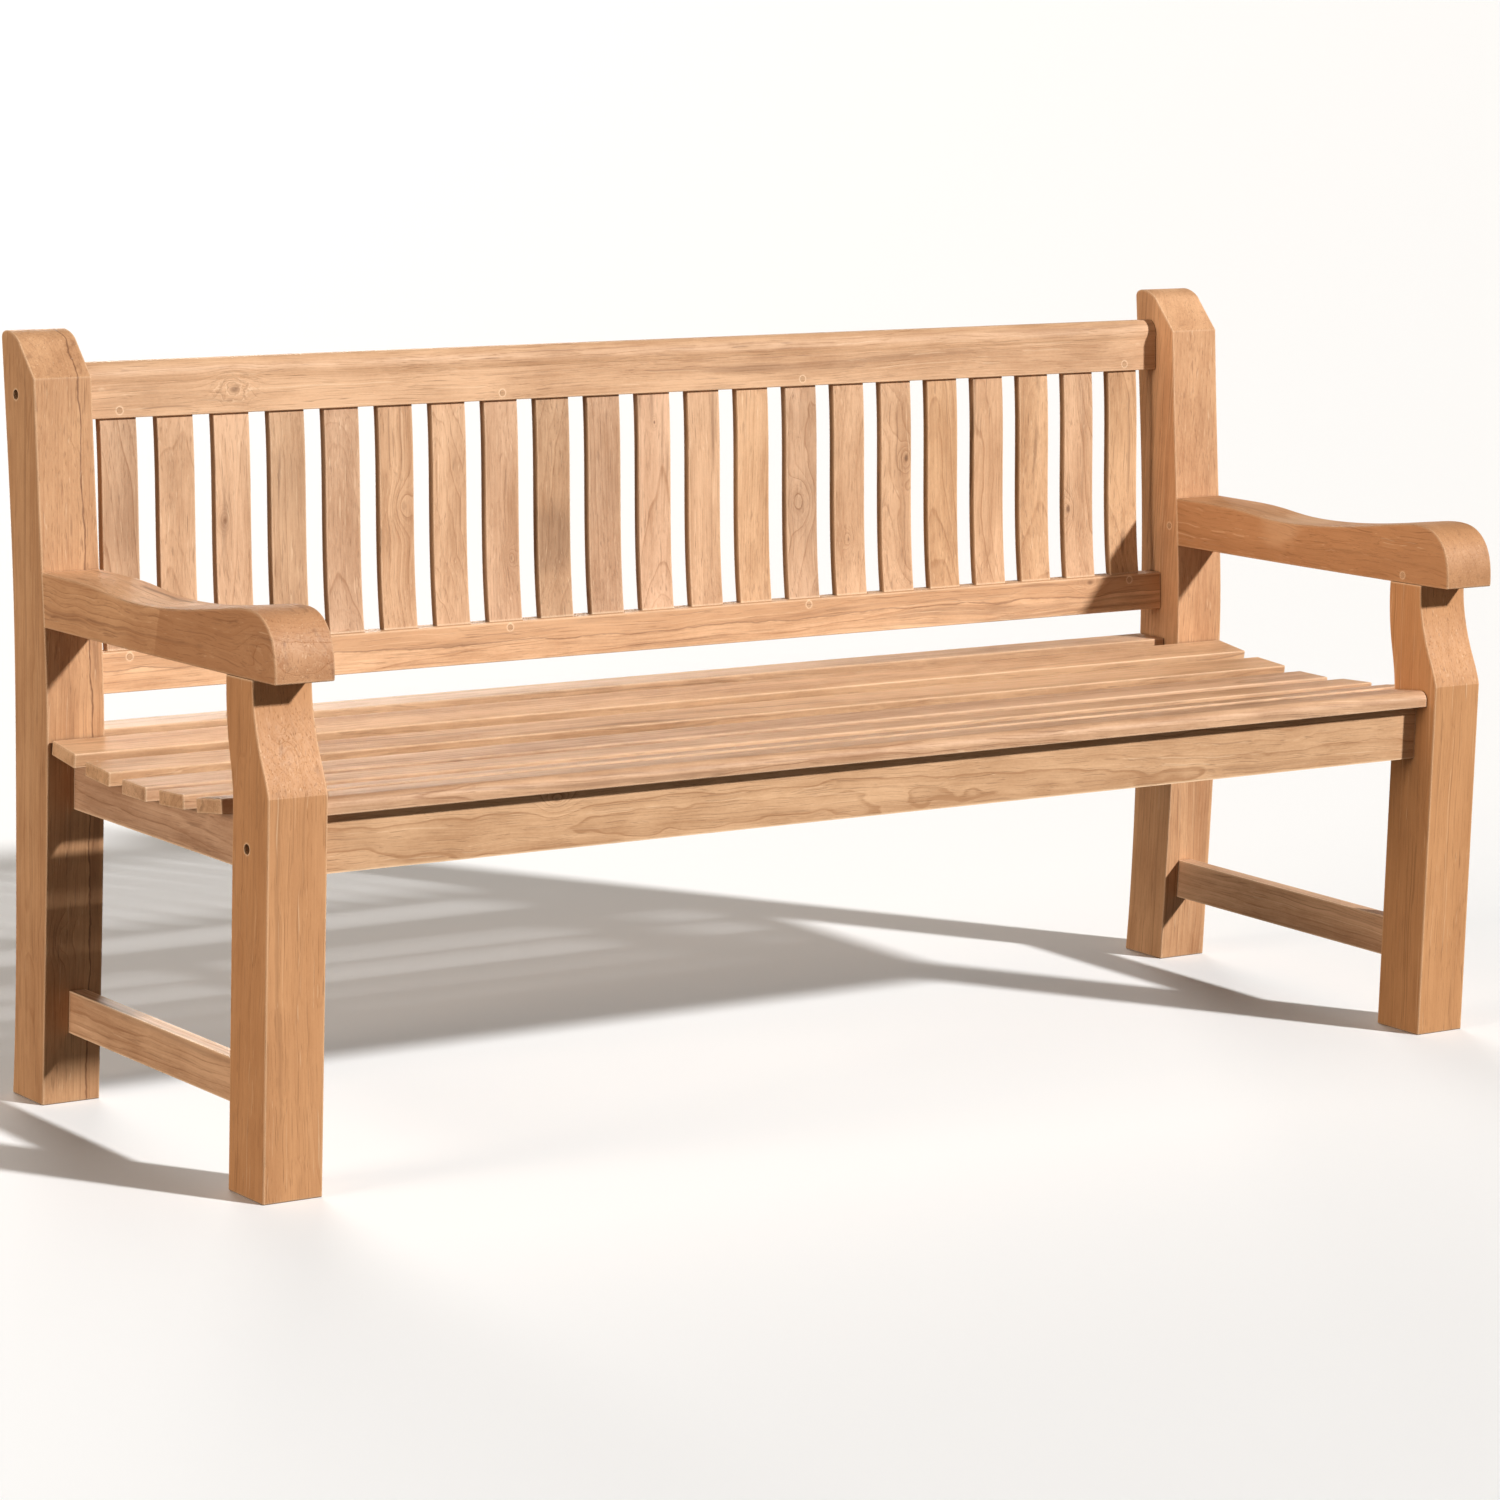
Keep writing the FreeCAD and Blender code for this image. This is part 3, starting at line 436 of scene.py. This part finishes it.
def teak_group():
    """The wood itself: rings round a pith line along X, fibres, pores, streaks, a knot and two tones."""
    group = bpy.data.node_groups.new("teak", "ShaderNodeTree")
    for name, kind in TEAK_INPUTS:
        group.interface.new_socket(name, in_out="INPUT", socket_type=kind)
    for name, kind in TEAK_OUTPUTS:
        group.interface.new_socket(name, in_out="OUTPUT", socket_type=kind)
    graph = Graph(group)
    given = graph.node("NodeGroupInput").outputs
    wood, knot_share, near = wandering_grain(graph, given)
    ring = growth_rings(graph, given, wood, near)

    # fibres, broad bands and blotches of tone
    noises = {}
    tone = graph.math("MULTIPLY", ring, given["Ring amount"])
    for name, (follows, squeeze, detail, roughness, weight) in TONE_NOISES.items():
        place = wood if follows == "grain" else given["Point"]
        noises[name] = graph.noise(graph.scaled(place, squeeze), detail, roughness)
        part = graph.math("MULTIPLY", graph.math("SUBTRACT", noises[name], 0.5), weight)
        tone = graph.math("ADD", tone, part)
    tone = graph.math("ADD", graph.math("MULTIPLY", tone, given["Contrast"]), MEAN_TONE, clamp=True)

    # thin marks
    marks = {}
    for name, (squeeze, detail, roughness, edge) in MARK_NOISES.items():
        marks[name] = graph.ramp(graph.noise(graph.scaled(wood, squeeze), detail, roughness), *edge)
    marks["streak"] = graph.math("MULTIPLY", marks["streak"], given["Streak amount"])
    marks["dark_loop"], marks["light_loop"] = knot_loops(graph, given, knot_share)
    marks["zone"], marks["border"], marks["patch"] = second_tone(graph, given, wood, noises["blotch"])
    marks["heart"] = graph.math("MULTIPLY", graph.ramp(knot_share, *HEART_EDGE, HEART_DEPTH, 0.0),
                                given["Knot heart"])

    light, dark, streak = given["Light"], given["Dark"], given["Streak"]
    pale = graph.mix(PALE_SHARE, light, opaque(PALE_FIBRE))
    colour = graph.mix(tone, light, dark)
    tints = {"dark": dark, "streak": streak, "pale": pale}
    for name, amount, tint in MARK_TINTS:
        colour = graph.mix(graph.math("MULTIPLY", marks[name], amount), colour, tints[tint])
    # Sharp edges lightened towards the pale tone: partly wear, partly a painted highlight
    colour = graph.mix(graph.math("MULTIPLY", arris_wear_and_highlight(graph), given["Arris amount"]), colour, pale)
    # Joints and creases darkened towards the streak colour: painted shade, with a little dirt
    colour = graph.mix(graph.math("MULTIPLY", crease_shade_and_dirt(graph), CREASE_DEPTH), colour, streak)

    height = graph.math("MULTIPLY", ring, -RING_HOLLOW)
    for part, amount in ((noises["fibre"], FIBRE_RELIEF), (noises["fine"], FINE_RELIEF),
                         (marks["pore"], -PORE_HOLLOW)):
        height = graph.math("ADD", height, graph.math("MULTIPLY", part, amount))
    rough = graph.math("MULTIPLY_ADD", noises["fibre"], ROUGHNESS_SWING, ROUGHNESS_LEAST)
    rough = graph.math("ADD", rough, graph.math("MULTIPLY", marks["pore"], PORE_ROUGHNESS), clamp=True)
    graph.node("NodeGroupOutput", {"Color": colour, "Roughness": rough, "Height": height})
    return group


def wood_material(name, group, box, along, look):
    """One board's own wood: its grain runs along the board and no two boards match."""
    material = bpy.data.materials.new("teak_" + name)
    material.use_nodes = True
    tree = material.node_tree
    graph = Graph(tree)
    shader = tree.nodes["Principled BSDF"]
    middle = (box[0] + box[1]) / 2
    turn = Euler(GRAIN_TURN[along]).to_matrix()
    tilts = [RANDOM.uniform(-GRAIN_TILT, GRAIN_TILT) for _ in range(2)]
    tilt = Euler((0, *tilts)).to_matrix()
    rotation = tilt @ turn
    start = Vector((RANDOM.uniform(*SAWN_FROM), 0, 0))
    place = graph.node("ShaderNodeTexCoord").outputs["Object"]
    mapping = {"Vector": place, "Location": start - rotation @ middle, "Rotation": rotation.to_euler()}
    point = graph.node("ShaderNodeMapping", mapping, vector_type="POINT").outputs[0]
    angle = RANDOM.uniform(0, 2 * math.pi)
    reach = RANDOM.uniform(*PITH_REACH)
    pith = (0.0, reach * math.cos(angle), reach * math.sin(angle))
    side = tilt @ Vector(look.get("zone_side", (0.0, 0.0, 1.0)))
    wood = graph.node("ShaderNodeGroup", (), node_tree=group)
    values = {
        "Pith": look.get("pith", pith), "Ring width": look["ring_width"],
        "Light": opaque(look["light"]), "Dark": opaque(look["dark"]), "Streak": opaque(look["streak"]),
        "Ring amount": look["ring_amount"], "Streak amount": look["streak_amount"],
        "Curl amount": look.get("curl", PLAIN_CURL),
        "Knot": start + tilt @ Vector(look.get("knot", NOWHERE)),
        "Knot radius": look.get("knot_radius", PLAIN_KNOT_RADIUS),
        "Knot heart": look.get("knot_heart", 1.0),
        "Zone side": side, "Zone start": look.get("zone_start", NEVER) + side.dot(start),
        "Zone amount": look.get("zone_amount", 0.0),
        "Border amount": look.get("border", 0.0), "Loop amount": look.get("loops", PLAIN_LOOPS),
        "Contrast": look["contrast"], "Arris amount": look.get("arris", PLAIN_ARRIS),
        "Patch": start + tilt @ Vector(look.get("patch", NOWHERE)),
        "Patch amount": look.get("patch_amount", 0.0),
    }
    for key, value in values.items():
        wood.inputs[key].default_value = value
    tree.links.new(point, wood.inputs["Point"])
    tree.links.new(wood.outputs["Color"], shader.inputs["Base Color"])
    tree.links.new(wood.outputs["Roughness"], shader.inputs["Roughness"])
    relief = {"Height": wood.outputs["Height"], "Strength": RELIEF_STRENGTH, "Distance": RELIEF_DEPTH}
    bump = graph.node("ShaderNodeBump", relief)
    tree.links.new(bump.outputs[0], shader.inputs["Normal"])
    shader.inputs["Specular IOR Level"].default_value = WOOD_SPECULAR
    return material


def varied(colour, lightness, warmth):
    """A colour made lighter or darker, and redder or greyer."""
    red, green, blue = colour
    redder = min(1, red * lightness * (1 + warmth * WARMTH_IN_RED))
    return (redder, green * lightness, blue * lightness * (1 - warmth))


def board_tone(name):
    """The tone set for a board: the kind of teak, its lightness and its warmth."""
    if name.startswith("back_slat"):
        return ("pale", *SLAT_TONES[int(name[-2:]) - 1])
    for start, tone in BOARD_TONES.items():
        if name.startswith(start):
            return tone
    return ("pale", 1.0, 0.0)


def board_look(name):
    """The colours and figure of one board."""
    kind, lightness, warmth = board_tone(name)
    light, dark, streak = TEAKS[kind]
    warmth += RANDOM.uniform(-WARMTH_SPREAD, WARMTH_SPREAD)
    look = {
        "light": varied(light, lightness, warmth),
        "dark": varied(dark, lightness, warmth),
        "streak": varied(streak, lightness, warmth),
        "ring_width": RANDOM.uniform(*RING_WIDTHS),
        "ring_amount": RANDOM.uniform(*RING_AMOUNTS),
        "streak_amount": RANDOM.uniform(*STREAK_AMOUNTS),
        "contrast": CONTRAST[kind],
    }
    look.update(FIGURES.get(name, {}))
    return look


def peg_look():
    """End grain of the pegs, a little darker than the boards."""
    light, dark, streak = TEAKS["pale"]
    light = varied(light, PEG_LIGHTNESS, PEG_WARMTH)
    return {"light": light, "dark": dark, "streak": streak, **PEG_FIGURE}


def steel_material():
    """Dull plain steel with grime."""
    material = bpy.data.materials.new("dull_steel")
    material.use_nodes = True
    graph = Graph(material.node_tree)
    shader = material.node_tree.nodes["Principled BSDF"]
    place = graph.node("ShaderNodeTexCoord").outputs["Object"]
    grime = graph.noise(graph.scaled(place, GRIME_SCALE), GRIME_DETAIL, GRIME_FINENESS)
    colour = graph.mix(graph.ramp(grime, *GRIME_EDGE), opaque(STEEL_COLOUR), opaque(GRIME_COLOUR))
    material.node_tree.links.new(colour, shader.inputs["Base Color"])
    dullness = graph.ramp(grime, *GLOSS_EDGE, *STEEL_ROUGHNESS)
    material.node_tree.links.new(dullness, shader.inputs["Roughness"])
    shader.inputs["Metallic"].default_value = STEEL_METALLIC
    return material


def floor_material():
    """A plain pale floor that throws little light up under the bench."""
    material = bpy.data.materials.new("pale_floor")
    material.use_nodes = True
    graph = Graph(material.node_tree)
    shader = material.node_tree.nodes["Principled BSDF"]
    seen = graph.node("ShaderNodeLightPath").outputs["Is Camera Ray"]
    colour = graph.mix(seen, opaque(FLOOR_BOUNCE), opaque(FLOOR_COLOUR))
    material.node_tree.links.new(colour, shader.inputs["Base Color"])
    shader.inputs["Roughness"].default_value = FLOOR_ROUGHNESS
    return material


def grain_axis(name):
    """Which way a node's grain runs."""
    for start, axis in GRAIN_ALONG.items():
        if name.startswith(start):
            return axis
    return "X"


def dress_nodes():
    """Every CAD node gets its material."""
    group = teak_group()
    steel = steel_material()
    for name in sorted(NODES):
        node = NODES[name]
        if name in ("frame_bolts", "barrel_nuts"):
            material = steel
        else:
            look = peg_look() if "peg" in name or "dowel" in name else board_look(name)
            material = wood_material(name, group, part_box(name), grain_axis(name), look)
        node.data.materials.clear()
        node.data.materials.append(material)


# ---- camera, light and floor -------------------------------------------------------------

def add_camera():
    """The camera, turned by its azimuth, pitch and roll."""
    data = bpy.data.cameras.new("camera")
    data.lens = CAMERA_LENS
    data.sensor_width = SENSOR_WIDTH
    camera = bpy.data.objects.new("camera", data)
    bpy.context.scene.collection.objects.link(camera)
    camera.location = CAMERA_PLACE
    heading = Matrix.Rotation(math.radians(-CAMERA_AZIMUTH), 3, "Z")
    pitch = Matrix.Rotation(math.radians(90 + CAMERA_PITCH), 3, "X")
    roll = Matrix.Rotation(math.radians(CAMERA_ROLL), 3, "Z")
    camera.rotation_euler = (heading @ pitch @ roll).to_euler()
    bpy.context.scene.camera = camera


def add_sun(name, direction, strength, softness, colour):
    """One far light that shines from a direction."""
    data = bpy.data.lights.new(name, "SUN")
    data.energy = strength
    data.angle = math.radians(softness)
    data.color = colour
    lamp = bpy.data.objects.new(name, data)
    lamp.rotation_euler = Vector(direction).to_track_quat("Z", "Y").to_euler()
    bpy.context.scene.collection.objects.link(lamp)
    return lamp


def linked_set(name, members, state):
    """A set of objects that a light reaches or leaves out, kept out of the scene's own tree."""
    chosen = bpy.data.collections.new(name)
    for item in members:
        chosen.objects.link(item)
    for entry in chosen.collection_objects:
        entry.light_linking.link_state = state
    return chosen


def add_key():
    """The key light, and a twin for the seat slats, which the right arm, its leg and the pegs don't shade."""
    seat = [NODES[name] for name in sorted(NODES) if name.startswith("seat_slat")]
    main = add_sun("key", KEY_DIRECTION, KEY_STRENGTH, KEY_SOFTNESS, KEY_COLOUR)
    main.light_linking.receiver_collection = linked_set("not_seat", seat, "EXCLUDE")
    twin = add_sun("seat_key", KEY_DIRECTION, KEY_STRENGTH, KEY_SOFTNESS, KEY_COLOUR)
    twin.light_linking.receiver_collection = linked_set("seat_only", seat, "INCLUDE")
    beside = [NODES["arm_right"], NODES["arm_pegs"], NODES["front_leg_right"]]
    twin.light_linking.blocker_collection = linked_set("no_shadow", beside, "EXCLUDE")


def add_sky():
    """A faint even sky, and a white backdrop behind the floor."""
    world = bpy.data.worlds.new("sky")
    world.use_nodes = True
    graph = Graph(world.node_tree)
    background = world.node_tree.nodes["Background"]
    seen = graph.node("ShaderNodeLightPath").outputs["Is Camera Ray"]
    glow = tuple(SKY_STRENGTH * part for part in SKY_COLOUR)
    colour = graph.mix(seen, opaque(glow), opaque(BACKDROP_COLOUR))
    world.node_tree.links.new(colour, background.inputs["Color"])
    bpy.context.scene.world = world
    bpy.context.scene.view_settings.view_transform = "Standard"


def add_floor():
    """The floor that the bench stands on."""
    size = FLOOR_HALF_SIZE
    mesh = bpy.data.meshes.new("floor")
    corners = [(-size, -size, 0), (size, -size, 0), (size, size, 0), (-size, size, 0)]
    mesh.from_pydata(corners, [], [(0, 1, 2, 3)])
    floor = bpy.data.objects.new("floor", mesh)
    floor.data.materials.append(floor_material())
    bpy.context.scene.collection.objects.link(floor)


add_camera()
add_key()
add_sun("fill", FILL_DIRECTION, FILL_STRENGTH, FILL_SOFTNESS, FILL_COLOUR)
add_sun("rear", REAR_DIRECTION, REAR_STRENGTH, REAR_SOFTNESS, REAR_COLOUR)
add_sky()
add_floor()
dress_nodes()
